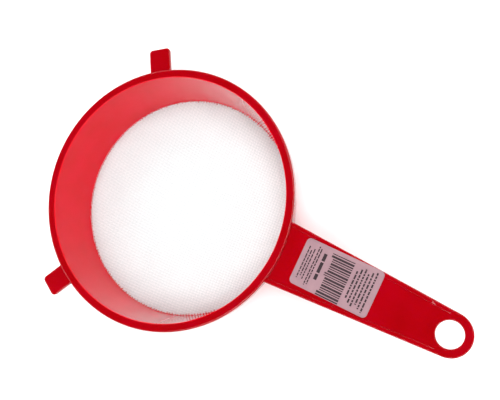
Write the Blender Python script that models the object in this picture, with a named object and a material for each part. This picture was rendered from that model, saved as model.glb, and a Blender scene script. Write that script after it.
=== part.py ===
"""Round kitchen sieve: a flanged, tapered bowl, a woven screen in its foot, two rest tabs and a handle.

The bowl, foot, handle and tabs are regions of one injection moulding, kept as simple solids that meet
with a small gap. The sieve stands on its foot, open upwards, with the handle along +X.
"""

import math

import bpy

# Driving dimensions, in metres. Plan distances are measured from the bowl's axis.
RIM_RADIUS = 0.080
RIM_HEIGHT = 0.040
RIM_WIDTH = 0.0050
FLANGE_THICKNESS = 0.0018
SKIRT_DEPTH = 0.0050
SKIRT_THICKNESS = 0.0016
RIM_ROUNDING = 0.0008
LIP_ROUNDING = 0.0006
WALL_THICKNESS = 0.0015
SCREEN_RADIUS = 0.0707
SCREEN_THICKNESS = 0.0004
SCREEN_SEAT = 0.0013
FOOT_HEIGHT = 0.0016
HANDLE_REACH = 0.1805
HANDLE_DROP = 0.0006
TIP_RADIUS = 0.0123
HANDLE_TAPER = math.radians(3.7)
HOLE_RADIUS = 0.0075
BORDER_WIDTH = 0.0024
BORDER_RISE = 0.0005
BOSS_RADIUS = 0.0104
WEB_THICKNESS = 0.0022
TAB_REACH = 0.0951
TAB_HALF_WIDTH = 0.0068
TAB_DROP = 0.0022
TAB_ROUNDING = 0.0022
TAB_ANGLE = math.radians(120)
LABEL_LENGTH = 0.0473
LABEL_WIDTH = 0.0276
LABEL_CENTRE = (0.1140, 0.00135)
LABEL_ROUNDING = 0.0025
LABEL_THICKNESS = 0.00015
LABEL_RAMP = 0.0022
LABEL_CLIMB = 0.00176
GAP = 0.0003

# Sizes that follow from those above.
OVERALL_REACH = HANDLE_REACH + TIP_RADIUS
BOWL_X = (RIM_RADIUS - OVERALL_REACH) / 2
HANDLE_TOP = RIM_HEIGHT - HANDLE_DROP
HANDLE_BOTTOM = RIM_HEIGHT - SKIRT_DEPTH
WEB_TOP = HANDLE_TOP - BORDER_RISE
WEB_BOTTOM = WEB_TOP - WEB_THICKNESS
SCREEN_LOW = FOOT_HEIGHT + GAP
WALL_FOOT = SCREEN_LOW + SCREEN_THICKNESS + GAP

TURNS = 128
ARC_STEPS = 24
CORNER_STEPS = 6
ROOT_STEPS = 12
LABEL_COLUMNS = 30
LABEL_ROWS = 24
CUT_MARGIN = 0.002


def new_material(name, colour, roughness):
    """A plain Principled material."""
    made = bpy.data.materials.new(name)
    made.use_nodes = True
    shader = made.node_tree.nodes["Principled BSDF"]
    shader.inputs["Base Color"].default_value = (*colour, 1)
    shader.inputs["Roughness"].default_value = roughness
    shader.inputs["Metallic"].default_value = 0
    return made


def new_object(name, points, faces, material, parent):
    """One closed solid, smooth except at its sharp edges."""
    mesh = bpy.data.meshes.new(name)
    mesh.from_pydata(points, [], faces)
    mesh.update()
    mesh.shade_smooth()
    mesh.set_sharp_from_angle(angle=math.radians(30))
    mesh.materials.append(material)
    made = bpy.data.objects.new(name, mesh)
    made.parent = parent
    bpy.context.collection.objects.link(made)
    return made


def arc(centre, radius, start, end, steps=ARC_STEPS):
    """Points along an arc, both ends included."""
    angles = [start + (end - start) * step / steps for step in range(steps + 1)]
    return [(centre[0] + radius * math.cos(a), centre[1] + radius * math.sin(a)) for a in angles]


def turned(name, profile, material, parent):
    """A ring turned about the bowl's axis from (radius, height) points that run anticlockwise."""
    count = len(profile)
    points = [
        (r * math.cos(2 * math.pi * turn / TURNS), r * math.sin(2 * math.pi * turn / TURNS), z)
        for turn in range(TURNS)
        for r, z in profile
    ]
    faces = []
    for turn in range(TURNS):
        here, there = turn * count, (turn + 1) % TURNS * count
        for k in range(count):
            after = (k + 1) % count
            faces.append((here + k, there + k, there + after, here + after))
    return new_object(name, points, faces, material, parent)


def extruded(name, outline, low, high, material, parent):
    """A plate between two heights from an outline that runs anticlockwise."""
    count = len(outline)
    points = [(x, y, low) for x, y in outline] + [(x, y, high) for x, y in outline]
    faces = [tuple(reversed(range(count))), tuple(range(count, 2 * count))]
    for k in range(count):
        after = (k + 1) % count
        faces.append((k, after, count + after, count + k))
    return new_object(name, points, faces, material, parent)


def cut(solid, cutter):
    """Take the cutter's space out of the solid."""
    cutter.hide_render = True
    cutter.display_type = "WIRE"
    modifier = solid.modifiers.new(cutter.name, "BOOLEAN")
    modifier.operation = "DIFFERENCE"
    modifier.solver = "EXACT"
    modifier.object = cutter


def make_bowl(material, parent):
    """Tapered wall under a flat flange with a skirt round its outer edge."""
    rim_in = RIM_RADIUS - RIM_WIDTH
    skirt_in = RIM_RADIUS - SKIRT_THICKNESS
    flange_low = RIM_HEIGHT - FLANGE_THICKNESS
    wall_top = rim_in - LIP_ROUNDING / 2
    lip = arc(
        (rim_in + LIP_ROUNDING, RIM_HEIGHT - LIP_ROUNDING), LIP_ROUNDING, math.pi / 2, math.pi, CORNER_STEPS
    )
    shoulder = arc(
        (RIM_RADIUS - RIM_ROUNDING, RIM_HEIGHT - RIM_ROUNDING), RIM_ROUNDING, 0, math.pi / 2, CORNER_STEPS
    )
    profile = [
        (SCREEN_RADIUS, WALL_FOOT),
        (SCREEN_RADIUS + WALL_THICKNESS, WALL_FOOT),
        (wall_top + WALL_THICKNESS, flange_low),
        (skirt_in, flange_low),
        (skirt_in, HANDLE_BOTTOM),
        (RIM_RADIUS, HANDLE_BOTTOM),
        *shoulder,
        *lip,
    ]
    turned("bowl", profile, material, parent)


def make_foot(material, parent):
    """Ring under the screen that the sieve stands on."""
    outer = SCREEN_RADIUS + WALL_THICKNESS
    profile = [(SCREEN_RADIUS, 0), (outer, 0), (outer, FOOT_HEIGHT), (SCREEN_RADIUS, FOOT_HEIGHT)]
    turned("foot_ring", profile, material, parent)


def make_screen(material, parent):
    """Disc as thick as the weave, held round its edge between the wall and the foot."""
    outline = arc((0, 0), SCREEN_RADIUS + SCREEN_SEAT, 0, 2 * math.pi, TURNS)[:-1]
    extruded("mesh_screen", outline, SCREEN_LOW, SCREEN_LOW + SCREEN_THICKNESS, material, parent)


def edge_meets_root(inset, root_radius):
    """Angle about the bowl's axis at which the handle's upper edge reaches a circle round the bowl."""
    radius = TIP_RADIUS - inset
    x = HANDLE_REACH + radius * math.sin(HANDLE_TAPER)
    y = radius * math.cos(HANDLE_TAPER)
    along = -HANDLE_REACH * math.cos(HANDLE_TAPER)
    travel = -along - math.sqrt(along**2 - x**2 - y**2 + root_radius**2)
    return math.atan2(y + travel * math.sin(HANDLE_TAPER), x - travel * math.cos(HANDLE_TAPER))


def handle_outline():
    """Two edges that taper to a round tip, and a root that follows the rim."""
    tip_end = math.pi / 2 - HANDLE_TAPER
    root_radius = RIM_RADIUS + GAP
    root_end = edge_meets_root(0, root_radius)
    return [
        *arc((HANDLE_REACH, 0), TIP_RADIUS, -tip_end, tip_end, 2 * ARC_STEPS),
        *arc((0, 0), root_radius, root_end, -root_end, ROOT_STEPS),
    ]


def recess_outline():
    """The sunk face inside the handle's border, from beyond the root to the boss round the hole."""
    inner = TIP_RADIUS - BORDER_WIDTH
    boss_start = math.pi / 2 - HANDLE_TAPER + math.acos(inner / BOSS_RADIUS)
    root_radius = RIM_RADIUS - CUT_MARGIN
    root_end = edge_meets_root(BORDER_WIDTH, root_radius)
    boss_side = arc((HANDLE_REACH, 0), BOSS_RADIUS, 2 * math.pi - boss_start, boss_start)
    return [*boss_side, *arc((0, 0), root_radius, root_end, -root_end, ROOT_STEPS)]


def make_handle(material, parent):
    """Flat web in a raised border, with a hanging hole through a boss at the tip."""
    handle = extruded("handle", handle_outline(), HANDLE_BOTTOM, HANDLE_TOP, material, parent)
    recess, hole = recess_outline(), arc((HANDLE_REACH, 0), HOLE_RADIUS, 0, 2 * math.pi, 48)[:-1]
    low, high = HANDLE_BOTTOM - CUT_MARGIN, HANDLE_TOP + CUT_MARGIN
    cut(handle, extruded("upper_recess", recess, WEB_TOP, high, material, parent))
    cut(handle, extruded("lower_recess", recess, low, WEB_BOTTOM, material, parent))
    cut(handle, extruded("hanging_hole", hole, low, high, material, parent))


def make_tab(name, angle, material, parent):
    """Flat ear outside the rim, drawn along +X and turned to its place."""
    root_radius = RIM_RADIUS + GAP
    root_end = math.asin(TAB_HALF_WIDTH / root_radius)
    x, y = TAB_REACH - TAB_ROUNDING, TAB_HALF_WIDTH - TAB_ROUNDING
    outline = [
        *arc((x, -y), TAB_ROUNDING, -math.pi / 2, 0, CORNER_STEPS),
        *arc((x, y), TAB_ROUNDING, 0, math.pi / 2, CORNER_STEPS),
        *arc((0, 0), root_radius, root_end, -root_end, CORNER_STEPS),
    ]
    tab = extruded(name, outline, HANDLE_BOTTOM, RIM_HEIGHT - TAB_DROP, material, parent)
    tab.rotation_euler.z = angle


def label_height(x, y):
    """Height of the label's underside, which climbs from the web onto the border."""
    edge = (HANDLE_REACH - x) * math.sin(HANDLE_TAPER) + TIP_RADIUS - BORDER_WIDTH
    past = abs(y) * math.cos(HANDLE_TAPER) - edge + LABEL_RAMP
    climb = min(max(past / LABEL_CLIMB, 0), 1)
    return WEB_TOP + GAP + BORDER_RISE * climb * climb * (3 - 2 * climb)


def make_label(material, parent):
    """Paper rectangle with round corners, laid over the web and the border beside it."""
    columns, rows, points = LABEL_COLUMNS, LABEL_ROWS, []
    for top in (0, LABEL_THICKNESS):
        for row in range(rows + 1):
            v = -math.cos(math.pi * row / rows) * LABEL_WIDTH / 2
            into_corner = min(max(abs(v) - LABEL_WIDTH / 2 + LABEL_ROUNDING, 0), LABEL_ROUNDING)
            half = LABEL_LENGTH / 2 - LABEL_ROUNDING + math.sqrt(LABEL_ROUNDING**2 - into_corner**2)
            for column in range(columns + 1):
                x = LABEL_CENTRE[0] + half * (2 * column / columns - 1)
                y = LABEL_CENTRE[1] + v
                points.append((x, y, label_height(x, y) + top))
    across, layer = columns + 1, (columns + 1) * (rows + 1)
    faces = []
    for row in range(rows):
        for column in range(columns):
            a = row * across + column
            faces.append((a, a + across, a + across + 1, a + 1))
            faces.append(tuple(layer + k for k in (a, a + 1, a + across + 1, a + across)))
    edge = [
        *range(columns),
        *(row * across + columns for row in range(rows)),
        *(rows * across + columns - step for step in range(columns)),
        *((rows - row) * across for row in range(rows)),
    ]
    for k, here in enumerate(edge):
        there = edge[(k + 1) % len(edge)]
        faces.append((here, there, there + layer, here + layer))
    new_object("product_label", points, faces, material, parent)


def main():
    for old in list(bpy.data.objects):
        bpy.data.objects.remove(old, do_unlink=True)
    axis = bpy.data.objects.new("bowl_axis", None)
    axis.location.x = BOWL_X
    bpy.context.collection.objects.link(axis)

    plastic = new_material("red_plastic", (0.48, 0.0, 0.008), 0.28)
    nylon = new_material("white_nylon", (0.86, 0.86, 0.87), 0.45)
    paper = new_material("label_paper", (0.60, 0.36, 0.40), 0.6)

    make_bowl(plastic, axis)
    make_foot(plastic, axis)
    make_screen(nylon, axis)
    make_handle(plastic, axis)
    make_tab("rest_tab_left", TAB_ANGLE, plastic, axis)
    make_tab("rest_tab_right", -TAB_ANGLE, plastic, axis)
    make_label(paper, axis)


main()
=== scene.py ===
"""The looks of a round red plastic sieve.

One glossy moulding, a screen of woven nylon threads and a paper label.
"""

import math
import random

import bpy
import numpy as np
from mathutils import Matrix, Vector


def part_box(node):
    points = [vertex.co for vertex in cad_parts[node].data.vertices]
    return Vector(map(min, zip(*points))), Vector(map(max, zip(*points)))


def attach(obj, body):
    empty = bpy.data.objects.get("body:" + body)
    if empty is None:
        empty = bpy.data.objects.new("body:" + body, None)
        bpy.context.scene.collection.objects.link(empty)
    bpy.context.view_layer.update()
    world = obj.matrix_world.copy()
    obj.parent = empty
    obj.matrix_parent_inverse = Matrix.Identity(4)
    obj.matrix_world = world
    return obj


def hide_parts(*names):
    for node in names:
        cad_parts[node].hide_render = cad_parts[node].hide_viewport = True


MM = 0.001

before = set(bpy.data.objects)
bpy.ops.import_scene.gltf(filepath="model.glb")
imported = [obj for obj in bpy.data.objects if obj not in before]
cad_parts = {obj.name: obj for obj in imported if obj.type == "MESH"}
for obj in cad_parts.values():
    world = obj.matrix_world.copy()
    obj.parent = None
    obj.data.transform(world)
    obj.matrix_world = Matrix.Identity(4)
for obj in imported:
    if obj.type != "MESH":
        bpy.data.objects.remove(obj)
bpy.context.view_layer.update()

# Places and main sizes, in metres, from the frame.
BOWL_LOW, BOWL_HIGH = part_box("bowl")
SCREEN_LOW, SCREEN_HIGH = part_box("mesh_screen")
FOOT_LOW, FOOT_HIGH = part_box("foot_ring")
HANDLE_LOW, HANDLE_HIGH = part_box("handle")
LABEL_LOW, LABEL_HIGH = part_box("product_label")
TAB_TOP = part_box("rest_tab_left")[1].z

AXIS = Vector(((BOWL_LOW.x + BOWL_HIGH.x) / 2, 0, 0))
RIM_RADIUS = (BOWL_HIGH.x - BOWL_LOW.x) / 2
RIM_TOP = BOWL_HIGH.z
SKIRT_BOTTOM = HANDLE_LOW.z
FOOT_RADIUS = (FOOT_HIGH.x - FOOT_LOW.x) / 2
SCREEN_MIDDLE = (SCREEN_LOW.z + SCREEN_HIGH.z) / 2

# The screen's disc runs into the wall all round by its seat, and its radius is what shows.
SCREEN_SEAT = 1.3 * MM
SCREEN_RADIUS = (SCREEN_HIGH.x - SCREEN_LOW.x) / 2 - SCREEN_SEAT

# The bowl's section.
WALL = 1.5 * MM
FLANGE = 1.8 * MM
SKIRT = 1.6 * MM
RIM_WIDTH = 5.0 * MM
RIM_CHAMFER = 0.5 * MM
SCREEN_LIP = 0.15 * MM
BOWL_TURNS = 288

# The handle: a web sunk in a raised border, fading out before the hanging hole.
TIP_RADIUS = 12.3 * MM
HOLE_RADIUS = 7.5 * MM
HOLE_X = HANDLE_HIGH.x - TIP_RADIUS
TAPER = math.radians(3.7)
BORDER = 2.4 * MM
BORDER_SLOPE = 0.18 * MM
WEB_SINK = 0.5 * MM
UNDER_SINK = 1.4 * MM
WEB_END = 2.0 * MM
WEB_FADE = 14.0 * MM
EDGE_ROUNDING = 0.5 * MM
HOLE_ROUNDING = 0.5 * MM
HOLE_ROUNDING_BELOW = 0.4 * MM

# The two tabs.
TAB_REACH = 95.1 * MM
TAB_HALF_WIDTH = 6.8 * MM
TAB_CORNER = 2.3 * MM
TAB_EDGE = 0.55 * MM
TAB_ANGLE = math.radians(120)

# Handle and tabs start inside the skirt, and their undersides lie just above its lower edge.
ROOT_RADIUS = RIM_RADIUS - 0.8 * MM
UNDERSIDE = SKIRT_BOTTOM + 0.05 * MM

# The weave: plain, white, its threads turned from the handle's line and held in the wall.
PITCH = 0.96 * MM
THREAD_RADIUS = 0.15 * MM
THREAD_HOLD = 0.8 * MM
THREAD_DRIFT = 0.03 * MM
THREAD_BEND = 0.05 * MM
WAVE = 0.13 * MM
WEAVE_ANGLE = math.radians(37)

# The tongues of plastic round the screen's edge, in mm. Their root, shoulder and tip are
# (place, half width): the root's place is outward from the screen's edge, and the others' from
# the tip. Jitter is a share of the spacing between tongues.
TONGUE_ROOT, TONGUE_SHOULDER, TONGUE_TIP = (0.1, 0.45), (0.3, 0.36), (0.0, 0.20)
TONGUE_SHORTEST, TONGUE_LONGEST = 0.55, 1.25
TONGUE_BELOW, TONGUE_ABOVE = -0.30, 0.12
TONGUE_JITTER = 0.12

# The label's paper, and how it climbs from the web onto the border.
LABEL_LENGTH = LABEL_HIGH.x - LABEL_LOW.x
LABEL_WIDTH = LABEL_HIGH.y - LABEL_LOW.y
LABEL_MIDDLE = ((LABEL_LOW.x + LABEL_HIGH.x) / 2, (LABEL_LOW.y + LABEL_HIGH.y) / 2)
LABEL_CORNER = 2.5 * MM
PAPER = 0.09 * MM
PAPER_GAP = 0.03 * MM
CLIMB_START = BORDER + 1.9 * MM
CLIMB_END = BORDER - 0.2 * MM

# The print, in mm from the label's corner nearest the bowl. A row is (place, height, share of the
# label's width), a bold dash is (start, length), the bars repeat (thickness, gap), and a long or
# short bar is (place, length). PRINT_STEP spaces the points that follow the paper.
SMALL, LARGE = 0.72, 0.98
PRINT_ROWS = [
    (2.8, SMALL, 0.70), (4.4, SMALL, 0.56), (6.0, SMALL, 0.66), (8.2, SMALL, 0.84),
    (9.6, SMALL, 0.78), (32.4, LARGE, 0.58), (34.5, LARGE, 0.72), (36.6, LARGE, 0.80),
    (38.7, LARGE, 0.66), (40.8, LARGE, 0.78), (43.0, LARGE, 0.86),
]
SHORTEST_DASH, LONGEST_DASH, DASH_GAP = 0.9, 2.8, 0.45
BOLD_PLACE, BOLD_HEIGHT = 12.2, 1.9
BOLD_DASHES = [(4.6, 4.4), (9.8, 6.2), (16.8, 3.4)]
BARS, BARS_START = 18, 2.4
BAR_CYCLE = [(0.55, 0.62), (1.20, 0.52), (0.80, 0.55)]
LONG_BAR, SHORT_BAR = (16.6, 13.6), (17.8, 12.4)
PRINT_STEP = 0.8
INK_FILM = 0.02 * MM

# Each surface's tone, and the tone that its pattern blends in.
# The first red is the moulding's own. The second, used on the wall, is the same red painted
# lighter. It is painted light for the light through the thin wall and the light on the upright
# wall, and a painted highlight along the rim's inner chamfer.
MOULDING_RED, MOULDING_RED_MOTTLE = (0.265, 0.0, 0.002), (0.30, 0.0, 0.004)
PAINTED_LIT_WALL_RED, PAINTED_LIT_WALL_RED_MOTTLE = (0.63, 0.0, 0.010), (0.68, 0.0, 0.015)
NYLON, NYLON_LIGHT = (0.555, 0.610, 0.615), (0.593, 0.640, 0.645)
LABEL_PINK, LABEL_PINK_LIGHT = (0.212, 0.112, 0.132), (0.255, 0.139, 0.159)
INK, INK_THIN = (0.008, 0.003, 0.005), (0.040, 0.016, 0.022)
FLOOR_TONE, FLOOR_TONE_LIGHT = (0.93, 0.93, 0.93), (0.95, 0.95, 0.95)

# The view, as seen from a point on the rim's plane near the bowl's middle.
AIM = AXIS + Vector((49.84 * MM, 20.1 * MM, RIM_TOP))
VIEW_DISTANCE = 0.406
VIEW_ELEVATION = math.radians(71.5)
VIEW_AZIMUTH = math.radians(-2.12)
VIEW_ROLL = math.radians(-63.0)
LENS = 50.4

# The studio: a white tent with a dim round opening overhead, where the camera looks in, and
# softboxes as (azimuth, elevation, power). The floor lies a hair below the foot.
TENT_LEVEL = 0.6
OPENING_LEVEL = 0.05
OPENING_TOWARDS = Vector((-0.30, 0.0, 0.954))
OPENING_RADIUS = math.radians(27)
OPENING_EDGE = math.radians(10)
SOFTBOX_SIZE = 0.6
SOFTBOX_DISTANCE = 1.5
HIGH_SOFTBOXES = [(azimuth, 68, 6.4) for azimuth in (0, 50, -50, 100, -100)]
FAR_SOFTBOXES = [(azimuth, 42, 3.9) for azimuth in (150, -150)]
FLOOR_HALF = 3.0
FLOOR_LEVEL = -0.1 * MM


# ---------------------------------------------------------------- node helpers

def node(tree, kind, inputs=(), **values):
    """A shader node. inputs holds (name, socket or value) pairs, and values its properties."""
    made = tree.nodes.new(kind)
    for name, value in values.items():
        setattr(made, name, value)
    for key, source in inputs:
        if isinstance(source, bpy.types.NodeSocket):
            tree.links.new(source, made.inputs[key])
        else:
            made.inputs[key].default_value = source
    return made


def new_material(name):
    made = bpy.data.materials.new(name)
    made.use_nodes = True
    return made, made.node_tree, made.node_tree.nodes["Principled BSDF"]


def noise(tree, where, scale, detail=3.0, roughness=0.5):
    inputs = [("Vector", where), ("Scale", scale), ("Detail", detail), ("Roughness", roughness)]
    return node(tree, "ShaderNodeTexNoise", inputs).outputs["Fac"]


def remap(tree, value, low, high, to_low, to_high):
    """Value from low..high turned into to_low..to_high, and held there."""
    inputs = [
        ("Value", value),
        ("From Min", low), ("From Max", high),
        ("To Min", to_low), ("To Max", to_high),
    ]
    return node(tree, "ShaderNodeMapRange", inputs).outputs["Result"]


def vector_math(tree, operation, *terms):
    return node(tree, "ShaderNodeVectorMath", list(enumerate(terms)), operation=operation)


def scalar_math(tree, operation, *terms):
    made = node(tree, "ShaderNodeMath", list(enumerate(terms)), operation=operation)
    return made.outputs["Value"]


def blend_colour(tree, factor, first, second):
    made = node(tree, "ShaderNodeMix", data_type="RGBA")
    tree.links.new(factor, made.inputs["Factor"])
    for key, source in ((6, first), (7, second)):
        if isinstance(source, bpy.types.NodeSocket):
            tree.links.new(source, made.inputs[key])
        else:
            made.inputs[key].default_value = (*source, 1)
    return made.outputs[2]


def stretched(tree, factors=(1, 1, 1), angle=0.0):
    """Object coordinates turned about Z by angle and scaled along each axis."""
    where = node(tree, "ShaderNodeTexCoord").outputs["Object"]
    inputs = [("Vector", where), ("Rotation", (0, 0, angle)), ("Scale", factors)]
    return node(tree, "ShaderNodeMapping", inputs).outputs["Vector"]


def bump(tree, shader, height, strength, distance):
    """Gives the shader the fine relief of this height pattern."""
    inputs = [("Height", height), ("Strength", strength), ("Distance", distance)]
    made = node(tree, "ShaderNodeBump", inputs)
    tree.links.new(made.outputs["Normal"], shader.inputs["Normal"])


# ------------------------------------------------------------------- materials

def painted_wall_light_share(tree):
    """Painted light: 1 on the wall and all inside it up to just below the rim's top, and 0 on the
    rim, tabs and handle.
    """
    # Where this is 1, the red is painted lighter. This is painted light for the light through the
    # thin wall and the light on the upright wall.
    where = node(tree, "ShaderNodeTexCoord").outputs["Object"]
    spot = vector_math(tree, "SUBTRACT", where, AXIS).outputs["Vector"]
    height = node(tree, "ShaderNodeSeparateXYZ", [("Vector", spot)]).outputs["Z"]
    level = vector_math(tree, "MULTIPLY", spot, (1, 1, 0)).outputs["Vector"]
    radius = vector_math(tree, "LENGTH", level).outputs["Value"]
    wall = remap(tree, height, 0, RIM_TOP, SCREEN_RADIUS, RIM_RADIUS - RIM_WIDTH)
    beyond = scalar_math(tree, "SUBTRACT", radius, wall)
    near = remap(tree, beyond, WALL + 0.3 * MM, WALL + 0.8 * MM, 1, 0)
    # The lower part of the rim's inner chamfer takes the lighter red too. It is a painted
    # highlight along the rim's inner edge.
    below = remap(tree, height, RIM_TOP - 0.2 * MM, RIM_TOP - 0.02 * MM, 1, 0)
    return scalar_math(tree, "MULTIPLY", near, below)


def red_plastic():
    """Glossy moulded polypropylene: a faint flow mottle, scuffs and a fine orange-peel skin.

    A thin coat over a low base gloss mirrors more at grazing angles than one surface does.
    """
    made, tree, shader = new_material("red_plastic_look")
    where = stretched(tree)
    mottle = remap(tree, noise(tree, where, scale=55, detail=4), 0.35, 0.65, 0, 1)
    brushed = stretched(tree, (1, 9, 4), math.radians(24))
    scuffs = noise(tree, brushed, scale=420, detail=6, roughness=0.7)
    peel = noise(tree, where, scale=900, detail=2)
    # The moulding's own red goes on the rim, tabs and handle. On the wall and the rim's inner
    # chamfer it is painted lighter, as painted light and a painted highlight.
    thick = blend_colour(tree, mottle, MOULDING_RED, MOULDING_RED_MOTTLE)
    thin = blend_colour(tree, mottle, PAINTED_LIT_WALL_RED, PAINTED_LIT_WALL_RED_MOTTLE)
    red = blend_colour(tree, painted_wall_light_share(tree), thick, thin)
    tree.links.new(red, shader.inputs["Base Color"])
    tree.links.new(remap(tree, scuffs, 0.45, 0.75, 0.04, 0.11), shader.inputs["Roughness"])
    bump(tree, shader, peel, strength=0.06, distance=0.04 * MM)
    shader.inputs["IOR"].default_value = 1.25
    shader.inputs["Coat Weight"].default_value = 1.0
    shader.inputs["Coat Roughness"].default_value = 0.06
    shader.inputs["Coat IOR"].default_value = 1.2
    shader.inputs["Subsurface Weight"].default_value = 0.6
    shader.inputs["Subsurface Radius"].default_value = (1, 0.03, 0.03)
    shader.inputs["Subsurface Scale"].default_value = 3.0 * MM
    return made


def white_nylon():
    """Drawn monofilament: glossy, slightly uneven along its length."""
    made, tree, shader = new_material("white_nylon_look")
    uneven = noise(tree, stretched(tree), scale=1400)
    patches = remap(tree, noise(tree, stretched(tree), scale=70), 0.3, 0.7, 0, 1)
    tree.links.new(blend_colour(tree, patches, NYLON, NYLON_LIGHT), shader.inputs["Base Color"])
    tree.links.new(remap(tree, uneven, 0.3, 0.7, 0.28, 0.5), shader.inputs["Roughness"])
    shader.inputs["IOR"].default_value = 1.53
    shader.inputs["Subsurface Weight"].default_value = 0.9
    shader.inputs["Subsurface Radius"].default_value = (1, 1, 1)
    shader.inputs["Subsurface Scale"].default_value = 0.4 * MM
    return made


def label_paper():
    """Thin coated paper: short fibres in its tone and surface."""
    made, tree, shader = new_material("label_paper_look")
    laid = stretched(tree, (1, 3, 1), math.radians(20))
    fibres = noise(tree, laid, scale=1500, detail=5, roughness=0.7)
    clouds = remap(tree, noise(tree, stretched(tree), scale=160), 0.3, 0.7, 0, 1)
    tone = blend_colour(tree, clouds, LABEL_PINK, LABEL_PINK_LIGHT)
    tree.links.new(tone, shader.inputs["Base Color"])
    tree.links.new(remap(tree, fibres, 0.3, 0.7, 0.42, 0.62), shader.inputs["Roughness"])
    bump(tree, shader, fibres, strength=0.25, distance=0.03 * MM)
    return made


def printing_ink():
    """Thermal print: near black, thinner where the head skipped."""
    made, tree, shader = new_material("printing_ink_look")
    skips = remap(tree, noise(tree, stretched(tree), scale=2600, detail=4), 0.40, 0.75, 0, 1)
    tree.links.new(blend_colour(tree, skips, INK, INK_THIN), shader.inputs["Base Color"])
    shader.inputs["Roughness"].default_value = 0.5
    shader.inputs["Specular IOR Level"].default_value = 0.2
    return made


def pale_floor():
    """Matt paper backdrop with a faint cloud in its tone."""
    made, tree, shader = new_material("pale_floor_look")
    cloud = noise(tree, stretched(tree), scale=6, detail=2)
    tone = blend_colour(tree, cloud, FLOOR_TONE, FLOOR_TONE_LIGHT)
    tree.links.new(tone, shader.inputs["Base Color"])
    shader.inputs["Roughness"].default_value = 0.9
    shader.inputs["Specular IOR Level"].default_value = 0.1
    return made


# ---------------------------------------------------------------- mesh helpers

def new_piece(name, points, faces, material, smooth_angle=40):
    """A mesh object at the origin, whose points are in the row frame."""
    mesh = bpy.data.meshes.new(name)
    mesh.from_pydata([tuple(p) for p in points], [], faces)
    mesh.update()
    mesh.shade_smooth()
    mesh.set_sharp_from_angle(angle=math.radians(smooth_angle))
    mesh.materials.append(material)
    made = bpy.data.objects.new(name, mesh)
    bpy.context.scene.collection.objects.link(made)
    return made


def finish_piece(piece, slot, *nodes):
    """The piece rides with the sieve and stands for these CAD nodes."""
    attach(piece, "root")
    if nodes:
        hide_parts(*nodes)


def eased(value, low, high):
    """0 below low, 1 above high, and an S-curve between."""
    t = min(max((value - low) / (high - low), 0), 1)
    return t * t * (3 - 2 * t)


def filleted(corners, steps=6):
    """A closed outline from (x, y, radius) corners, each rounded by an arc of that radius.

    A point just past each end of an arc keeps the straight run beside it flat when shaded.
    """
    outline = []
    for k, (x, y, radius) in enumerate(corners):
        here = Vector((x, y))
        before = Vector(corners[k - 1][:2]) - here
        after = Vector(corners[(k + 1) % len(corners)][:2]) - here
        if radius <= 0:
            outline.append(tuple(here))
            continue
        before.normalize()
        after.normalize()
        half = before.angle(after) / 2
        middle = here + (before + after).normalized() * (radius / math.sin(half))
        start = here + before * (radius / math.tan(half)) - middle
        end = here + after * (radius / math.tan(half)) - middle
        turn = start.angle_signed(end)
        outline.append(tuple(middle + start + before * (radius / 4)))
        for step in range(steps + 1):
            arm = start.copy()
            arm.rotate(Matrix.Rotation(-turn * step / steps, 2))
            outline.append(tuple(middle + arm))
        outline.append(tuple(middle + end + after * (radius / 4)))
    return outline


def tube_faces(rings, count):
    """Quads between successive rings of count points."""
    faces = []
    for ring in range(rings - 1):
        for k in range(count):
            a, b = ring * count + k, ring * count + (k + 1) % count
            faces.append((a, b, b + count, a + count))
    return faces


# -------------------------------------------------------------------- moulding

def bowl_profile():
    """The wall's section as (radius, height): foot, outer wall, skirt, rim, inner wall.

    The corners are (radius, height, fillet), outward along the foot and back down the inside.
    """
    rim_in, skirt_in = RIM_RADIUS - RIM_WIDTH, RIM_RADIUS - SKIRT
    flange_low = RIM_TOP - FLANGE
    lip_in = SCREEN_RADIUS - SCREEN_LIP
    return filleted([
        (SCREEN_RADIUS + 0.2 * MM, 0, 0.3 * MM),
        (FOOT_RADIUS, 0, 0.35 * MM),
        (rim_in + WALL, flange_low, 0.8 * MM),
        (skirt_in, flange_low, 0.5 * MM),
        (skirt_in, SKIRT_BOTTOM, 0.3 * MM),
        (RIM_RADIUS, SKIRT_BOTTOM, 0.4 * MM),
        (RIM_RADIUS, RIM_TOP, 0.8 * MM),
        (rim_in + RIM_CHAMFER, RIM_TOP, 0.12 * MM),
        (rim_in, RIM_TOP - RIM_CHAMFER, 0.12 * MM),
        (SCREEN_RADIUS + 0.05 * MM, SCREEN_MIDDLE + 0.25 * MM, 0.2 * MM),
        (lip_in, SCREEN_MIDDLE + 0.05 * MM, 0.05 * MM),
        (lip_in, SCREEN_MIDDLE - 0.25 * MM, 0.05 * MM),
        (SCREEN_RADIUS + 0.2 * MM, SCREEN_MIDDLE - 0.6 * MM, 0.2 * MM),
    ])


def make_bowl(material):
    """The bowl turned about its axis, foot and rim in one."""
    profile = bowl_profile()
    count = len(profile)
    points = []
    for turn in range(BOWL_TURNS):
        angle = 2 * math.pi * turn / BOWL_TURNS
        out = Vector((math.cos(angle), math.sin(angle), 0))
        points += [AXIS + out * r + Vector((0, 0, z)) for r, z in profile]
    faces = []
    for turn in range(BOWL_TURNS):
        here, there = turn * count, (turn + 1) % BOWL_TURNS * count
        for k in range(count):
            after = (k + 1) % count
            faces.append((here + k, there + k, there + after, here + after))
    piece = new_piece("bowl_moulding", points, faces, material, 50)
    finish_piece(piece, "red_plastic", "bowl", "foot_ring")


def inward(x, y):
    """How far a point lies inside the handle's outline."""
    ahead, aside = x - HOLE_X, abs(y)
    if ahead * math.cos(TAPER) > aside * math.sin(TAPER):
        return TIP_RADIUS - math.hypot(ahead, aside)
    return TIP_RADIUS - ahead * math.sin(TAPER) - aside * math.cos(TAPER)


def rounding(depth, radius):
    """How far a surface has dropped at this depth inside an edge of this radius."""
    short = max(radius - max(depth, 0), 0)
    return radius - math.sqrt(max(radius * radius - short * short, 0))


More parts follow.
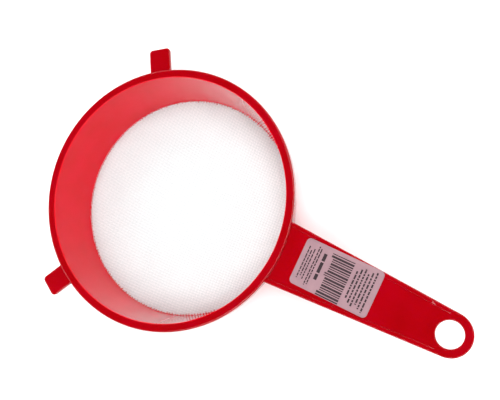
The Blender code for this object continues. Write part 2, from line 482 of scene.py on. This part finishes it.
def handle_relief(x, y):
    """1 on the sunk web and 0 on its border, which the web rises to meet as it nears the hole."""
    border = eased(inward(x, y), BORDER - BORDER_SLOPE, BORDER + BORDER_SLOPE)
    before_hole = HOLE_X - WEB_END - x
    return border * eased(before_hole, 0, WEB_FADE)


def handle_top(x, y):
    """The upper face's height."""
    from_hole = math.hypot(x - HOLE_X, y) - HOLE_RADIUS
    drop = rounding(inward(x, y), EDGE_ROUNDING) + rounding(from_hole, HOLE_ROUNDING)
    return HANDLE_HIGH.z - drop - WEB_SINK * handle_relief(x, y)


def handle_bottom(x, y):
    """The underside's height."""
    from_hole = math.hypot(x - HOLE_X, y) - HOLE_RADIUS
    lift = rounding(inward(x, y), EDGE_ROUNDING) + rounding(from_hole, HOLE_ROUNDING_BELOW)
    return UNDERSIDE + lift + UNDER_SINK * handle_relief(x, y)


# Depths inside the outline and outside the hole where the handle's grids have points, close
# together on each rounding and slope. The last step of a rounding keeps the flat beside it flat.
EDGE_STEPS = [EDGE_ROUNDING * share for share in (0, 0.04, 0.13, 0.28, 0.48, 0.74, 1.0, 1.15)]
HOLE_STEPS = [HOLE_ROUNDING * share for share in (0, 0.06, 0.2, 0.4, 0.7, 1.0, 1.1)]
SLOPE_SHARES = (-1.1, -1, -0.7, -0.35, 0, 0.35, 0.7, 1, 1.1)
SLOPE_STEPS = [BORDER + BORDER_SLOPE * share for share in SLOPE_SHARES]

# The grid along the handle meets the grid round the hole on the line across it at JOINT_X.
JOINT_X = HOLE_X - 15 * MM
WEB_STATIONS = 9
LENGTH_STATIONS = 70
SIDE_STATIONS = 22
TIP_STATIONS = 90
RAY_STATIONS = 52
DEPTH_BISECTIONS = 30
ROOT_PASSES = 8


def lateral_stations():
    """Points across the handle at JOINT_X as (y, edge share)."""
    half = (TIP_RADIUS - (JOINT_X - HOLE_X) * math.sin(TAPER)) / math.cos(TAPER)
    border = [half - d / math.cos(TAPER) for d in EDGE_STEPS + SLOPE_STEPS]
    inner = [border[-1] * (1 - k / WEB_STATIONS) for k in range(1, WEB_STATIONS)]
    side = [(y, 1.0) for y in border] + [(y, y / border[-1]) for y in inner]
    return side + [(0.0, 0.0)] + [(-y, -share) for y, share in reversed(side)]


def ray_stations(out, length):
    """Distances along a ray from the hole's middle.

    They are the hole's rounded rim, an even run, and each turn of the border and edge.
    """
    hole = Vector((HOLE_X, 0))
    end_depth = inward(*(hole + out * length))
    turns = [length]
    for depth in EDGE_STEPS[1:] + SLOPE_STEPS:
        if depth <= end_depth + 0.001 * MM:
            continue
        near, far = HOLE_RADIUS, length
        for _ in range(DEPTH_BISECTIONS):
            middle = (near + far) / 2
            if inward(*(hole + out * middle)) > depth:
                near = middle
            else:
                far = middle
        turns.insert(0, far)
    rim = [HOLE_RADIUS + d for d in HOLE_STEPS]
    spare = RAY_STATIONS - len(rim) - len(turns)
    run = [rim[-1] + (turns[0] - rim[-1]) * k / (spare + 1) for k in range(1, spare + 1)]
    return rim + run + turns


def handle_plan():
    """Plan points of the handle in two grids that share the line across it at JOINT_X."""
    stations = lateral_stations()
    rows = []
    for y, share in stations:
        x_root, slope = ROOT_RADIUS, -share * math.tan(TAPER)
        for _ in range(ROOT_PASSES):
            y_root = y + slope * (AXIS.x + x_root - JOINT_X)
            x_root = math.sqrt(ROOT_RADIUS**2 - y_root**2)
        start, end = Vector((AXIS.x + x_root, y_root)), Vector((JOINT_X, y))
        rows.append([start.lerp(end, k / LENGTH_STATIONS) for k in range(LENGTH_STATIONS + 1)])

    hole = Vector((HOLE_X, 0))
    normal = math.pi / 2 - TAPER
    tangent = hole + Vector((math.cos(normal), math.sin(normal))) * TIP_RADIUS
    corner = Vector((JOINT_X, stations[0][0]))
    upper = [corner.lerp(tangent, k / SIDE_STATIONS) for k in range(1, SIDE_STATIONS)]
    tip = [
        hole + Vector((math.cos(a), math.sin(a))) * TIP_RADIUS
        for a in np.linspace(normal, -normal, TIP_STATIONS)
    ]
    lower = [Vector((p.x, -p.y)) for p in reversed(upper)]
    far_side = [Vector((JOINT_X, y)) for y, _ in reversed(stations)][1:-1]
    boundary = [corner, *upper, *tip, *lower, Vector((JOINT_X, stations[-1][0])), *far_side]
    rays = []
    for point in boundary:
        out = (point - hole).normalized()
        length = (point - hole).length
        rays.append([hole + out * r for r in ray_stations(out, length)])
    return rows, rays


def make_handle(material):
    """Web, border, hole and underside as one closed skin over the plan's two grids."""
    rows, rays = handle_plan()
    points, faces, index = [], [], {}

    def vertex(plan, top):
        key = (round(plan.x, 7), round(plan.y, 7), top)
        if key not in index:
            height = handle_top(*plan) if top else handle_bottom(*plan)
            index[key] = len(points)
            points.append((plan.x, plan.y, height))
        return index[key]

    def grid(lines, closed):
        """Upper and lower faces between neighbouring lines of the plan."""
        span = range(len(lines) if closed else len(lines) - 1)
        for i in span:
            here, there = lines[i], lines[(i + 1) % len(lines)]
            for k in range(len(here) - 1):
                plan = (here[k], here[k + 1], there[k + 1], there[k])
                faces.append([vertex(p, True) for p in plan])
                faces.append([vertex(p, False) for p in reversed(plan)])

    def wall(line):
        """Upright faces along a line of the plan."""
        for a, b in zip(line, line[1:]):
            faces.append([vertex(a, True), vertex(b, True), vertex(b, False), vertex(a, False)])

    grid(rows, False)
    grid(rays, True)
    count = len(rows)
    wall(rows[0])
    wall([ray[-1] for ray in rays[: len(rays) - count + 2]])
    wall(list(reversed(rows[-1])))
    wall([row[0] for row in reversed(rows)])
    wall([ray[0] for ray in reversed(rays)] + [rays[-1][0]])
    piece = new_piece("handle_moulding", points, faces, material, 60)
    finish_piece(piece, "red_plastic", "handle")


def make_tab(name, replaced, angle, material):
    """Flat ear with eased edges, drawn along +X and turned about the bowl's axis."""
    low_edge = [(0.3, 0.0), (0.08, 0.1), (0.0, 0.3)]
    rings = [(inset * MM, UNDERSIDE + rise * MM) for inset, rise in low_edge]
    steps = 6
    for step in range(steps + 1):
        turn = math.pi / 2 * step / steps
        inset = TAB_EDGE * (1 - math.cos(turn))
        rings.append((inset, TAB_TOP - TAB_EDGE * (1 - math.sin(turn))))
    rings.append((1.2 * TAB_EDGE, TAB_TOP))
    points, count = [], 0
    for inset, height in rings:
        half, reach, corner = TAB_HALF_WIDTH - inset, TAB_REACH - inset, TAB_CORNER - inset
        outline = filleted([
            (ROOT_RADIUS, -half, 0), (reach, -half, corner),
            (reach, half, corner), (ROOT_RADIUS, half, 0),
        ], steps=8)
        count = len(outline)
        points += [(x, y, height) for x, y in outline]
    faces = tube_faces(len(rings), count)
    faces.append(list(reversed(range(count))))
    faces.append(list(range((len(rings) - 1) * count, len(rings) * count)))
    turned = Matrix.Translation(AXIS) @ Matrix.Rotation(angle, 4, "Z")
    piece = new_piece(name, [turned @ Vector(p) for p in points], faces, material, 50)
    finish_piece(piece, "red_plastic", replaced)


# ----------------------------------------------------------------------- weave

def thread_set(angle, phase, rng):
    """Points and faces of one set of parallel threads that pass over and under the other set."""
    reach = SCREEN_RADIUS + THREAD_HOLD
    most = int(reach / PITCH)
    along = Vector((math.cos(angle), math.sin(angle)))
    across = Vector((-math.sin(angle), math.cos(angle)))
    section = [(0, 1), (1, 0), (0, -1), (-1, 0)]
    points, faces = [], []
    for line in range(-most, most + 1):
        offset = line * PITCH
        half = math.sqrt(max(reach**2 - offset**2, 0))
        last = int(half / PITCH)
        if last < 2:
            continue
        drift = rng.uniform(-THREAD_DRIFT, THREAD_DRIFT)
        bend = rng.uniform(-THREAD_BEND, THREAD_BEND)
        first = len(points)
        for step in range(-last, last + 1):
            s = step * PITCH
            side = offset + drift + bend * math.sin(3 * s / reach + line)
            height = SCREEN_MIDDLE + WAVE * (1 if (step + line + phase) % 2 else -1)
            for wide, high in section:
                spot = along * s + across * (side + wide * THREAD_RADIUS)
                points.append(AXIS + Vector((spot.x, spot.y, height + high * THREAD_RADIUS)))
        stops = 2 * last + 1
        faces += [[first + k for k in face] for face in tube_faces(stops, 4)]
        faces.append([first + k for k in (3, 2, 1, 0)])
        faces.append([first + 4 * (stops - 1) + k for k in (0, 1, 2, 3)])
    return points, faces


def make_screen(material):
    """Both sets of threads, held all round in the foot of the wall."""
    rng = random.Random(7)
    warp, warp_faces = thread_set(WEAVE_ANGLE, 0, rng)
    weft, weft_faces = thread_set(WEAVE_ANGLE + math.pi / 2, 1, rng)
    faces = warp_faces + [[k + len(warp) for k in face] for face in weft_faces]
    piece = new_piece("woven_screen", warp + weft, faces, material, 180)
    finish_piece(piece, "white_nylon", "mesh_screen")


def make_teeth(material):
    """Small tongues of plastic that ran in between every other thread at the screen's edge."""
    rng = random.Random(3)
    count = round(2 * math.pi * SCREEN_RADIUS / (2 * PITCH))
    section = [(-1, TONGUE_BELOW), (1, TONGUE_BELOW), (1, TONGUE_ABOVE), (-1, TONGUE_ABOVE)]
    points, faces = [], []
    for tongue in range(count):
        turn = 2 * math.pi * (tongue + rng.uniform(-TONGUE_JITTER, TONGUE_JITTER)) / count
        out = Vector((math.cos(turn), math.sin(turn), 0))
        aside = Vector((-math.sin(turn), math.cos(turn), 0))
        tip = SCREEN_RADIUS - rng.uniform(TONGUE_SHORTEST, TONGUE_LONGEST) * MM
        stations = [
            (SCREEN_RADIUS + TONGUE_ROOT[0] * MM, TONGUE_ROOT[1] * MM),
            (tip + TONGUE_SHOULDER[0] * MM, TONGUE_SHOULDER[1] * MM),
            (tip + TONGUE_TIP[0] * MM, TONGUE_TIP[1] * MM),
        ]
        first = len(points)
        for radius, half in stations:
            for side, lift in section:
                spot = AXIS + out * radius + aside * (side * half)
                points.append((spot.x, spot.y, SCREEN_MIDDLE + lift * MM))
        faces += [[first + k for k in reversed(face)] for face in tube_faces(3, 4)]
        faces += [[first + k for k in (0, 1, 2, 3)], [first + k for k in (11, 10, 9, 8)]]
    piece = new_piece("screen_edge_teeth", points, faces, material)
    finish_piece(piece, "red_plastic")


# ----------------------------------------------------------------------- label

def label_top(x, y):
    """The paper's upper face: flat on the web, and bridging up onto the border beside it."""
    climb = eased(-inward(x, y), -CLIMB_START, -CLIMB_END)
    return HANDLE_HIGH.z - WEB_SINK * (1 - climb) + PAPER + PAPER_GAP


def make_label(material):
    """The paper, with round corners and a real thickness."""
    columns, rows = 60, 40
    points = []
    for lift in (0, PAPER):
        for row in range(rows + 1):
            v = -math.cos(math.pi * row / rows) * LABEL_WIDTH / 2
            into = min(max(abs(v) - LABEL_WIDTH / 2 + LABEL_CORNER, 0), LABEL_CORNER)
            half = LABEL_LENGTH / 2 - LABEL_CORNER + math.sqrt(LABEL_CORNER**2 - into**2)
            for column in range(columns + 1):
                x, y = LABEL_MIDDLE[0] + half * (2 * column / columns - 1), LABEL_MIDDLE[1] + v
                points.append((x, y, label_top(x, y) - PAPER + lift))
    across, layer = columns + 1, (columns + 1) * (rows + 1)
    faces = []
    for row in range(rows):
        for column in range(columns):
            a = row * across + column
            faces.append((a, a + across, a + across + 1, a + 1))
            faces.append(tuple(layer + k for k in (a, a + 1, a + across + 1, a + across)))
    edge = [
        *range(columns),
        *(row * across + columns for row in range(rows)),
        *(rows * across + columns - step for step in range(columns)),
        *((rows - row) * across for row in range(rows)),
    ]
    for k, here in enumerate(edge):
        there = edge[(k + 1) % len(edge)]
        faces.append((here, there, there + layer, here + layer))
    piece = new_piece("paper_label", points, faces, material, 50)
    finish_piece(piece, "label_paper", "product_label")


def printed_marks():
    """Marks as (u, v, length, width): rows of dashes, three bold dashes and a block of bars.

    u runs along the handle and v across it, in mm from the label's corner nearest the bowl. The
    rows only suggest writing, and the bars are a plain repeating pattern that holds no number.
    """
    rng, marks = random.Random(11), []
    width = LABEL_WIDTH / MM
    for u, height, share in PRINT_ROWS:
        v, end = width * (1 - share) / 2, width * (1 + share) / 2
        while v < end:
            dash = rng.uniform(SHORTEST_DASH, LONGEST_DASH)
            marks.append((u, v, height, min(dash, end - v)))
            v += dash + DASH_GAP
    for v, length in BOLD_DASHES:
        marks.append((BOLD_PLACE, v, BOLD_HEIGHT, length))
    v = BARS_START
    for k in range(BARS):
        long = k < 2 or k > BARS - 3 or k in (BARS // 2 - 1, BARS // 2)
        u, length = LONG_BAR if long else SHORT_BAR
        thick, gap = BAR_CYCLE[k % len(BAR_CYCLE)]
        marks.append((u, v, length, thick))
        v += thick + gap
    return marks


def make_print(material):
    """The marks as thin films of ink that follow the paper."""
    points, faces = [], []
    for u, v, length, width in printed_marks():
        steps = max(2, round(max(length, width) / PRINT_STEP))
        x0, y0 = LABEL_LOW.x + u * MM, LABEL_HIGH.y - v * MM
        long_way = length > width
        first = len(points)
        for step in range(steps + 1):
            t = step / steps
            for side in (0, 1):
                x = x0 + length * MM * (t if long_way else side)
                y = y0 - width * MM * (side if long_way else t)
                points.append((x, y, label_top(x, y) + INK_FILM))
        for step in range(steps):
            a = first + 2 * step
            quad = (a, a + 1, a + 3, a + 2)
            faces.append(quad if long_way else tuple(reversed(quad)))
    piece = new_piece("label_print", points, faces, material)
    bpy.context.view_layer.update()
    up = sum(polygon.normal.z for polygon in piece.data.polygons)
    if up < 0:
        piece.data.flip_normals()
    finish_piece(piece, "label_paper")


# ----------------------------------------------------------------------- stage

def make_floor(material):
    signs = [(-1, -1), (1, -1), (1, 1), (-1, 1)]
    corners = [(FLOOR_HALF * x, FLOOR_HALF * y, FLOOR_LEVEL) for x, y in signs]
    floor = new_piece("studio_floor", corners, [(0, 1, 2, 3)], material)


def make_world():
    """An even white tent with a dim opening whose edge is soft."""
    world = bpy.data.worlds.new("studio_tent")
    bpy.context.scene.world = world
    world.use_nodes = True
    tree = world.node_tree
    where = node(tree, "ShaderNodeTexCoord").outputs["Generated"]
    facing = vector_math(tree, "DOT_PRODUCT", where, OPENING_TOWARDS).outputs["Value"]
    inner = math.cos(OPENING_RADIUS)
    outer = math.cos(OPENING_RADIUS + OPENING_EDGE)
    level = remap(tree, facing, outer, inner, TENT_LEVEL, OPENING_LEVEL)
    tree.links.new(level, tree.nodes["Background"].inputs["Strength"])
    tree.nodes["Background"].inputs["Color"].default_value = (1, 1, 1, 1)


def direction(azimuth, elevation):
    """The unit vector towards this azimuth and elevation, in radians."""
    level = math.cos(elevation)
    return Vector((level * math.cos(azimuth), level * math.sin(azimuth), math.sin(elevation)))


def soft_light(name, azimuth, elevation, power):
    """A square softbox turned towards the sieve from this direction, in degrees."""
    away = direction(math.radians(azimuth), math.radians(elevation))
    data = bpy.data.lights.new(name, "AREA")
    data.size = SOFTBOX_SIZE
    data.energy = power
    made = bpy.data.objects.new(name, data)
    made.location = away * SOFTBOX_DISTANCE
    made.rotation_euler = away.to_track_quat("Z", "Y").to_euler()
    bpy.context.scene.collection.objects.link(made)


def make_camera():
    """The camera looks down at AIM from above the handle, turned about its own line of sight."""
    back = direction(VIEW_AZIMUTH, VIEW_ELEVATION)
    data = bpy.data.cameras.new("view")
    data.lens = LENS
    camera = bpy.data.objects.new("view", data)
    place = Matrix.Translation(AIM + back * VIEW_DISTANCE)
    upright = back.to_track_quat("Z", "Y").to_matrix().to_4x4()
    camera.matrix_world = place @ upright @ Matrix.Rotation(VIEW_ROLL, 4, "Z")
    bpy.context.scene.collection.objects.link(camera)
    bpy.context.scene.camera = camera


def main():
    plastic = red_plastic()
    make_bowl(plastic)
    make_handle(plastic)
    make_tab("tab_left_moulding", "rest_tab_left", TAB_ANGLE, plastic)
    make_tab("tab_right_moulding", "rest_tab_right", -TAB_ANGLE, plastic)
    make_screen(white_nylon())
    make_teeth(plastic)
    make_label(label_paper())
    make_print(printing_ink())

    make_floor(pale_floor())
    make_world()
    for towards in HIGH_SOFTBOXES:
        soft_light("high_softbox", *towards)
    for towards in FAR_SOFTBOXES:
        soft_light("far_softbox", *towards)
    make_camera()
    bpy.context.scene.view_settings.view_transform = "Standard"


main()
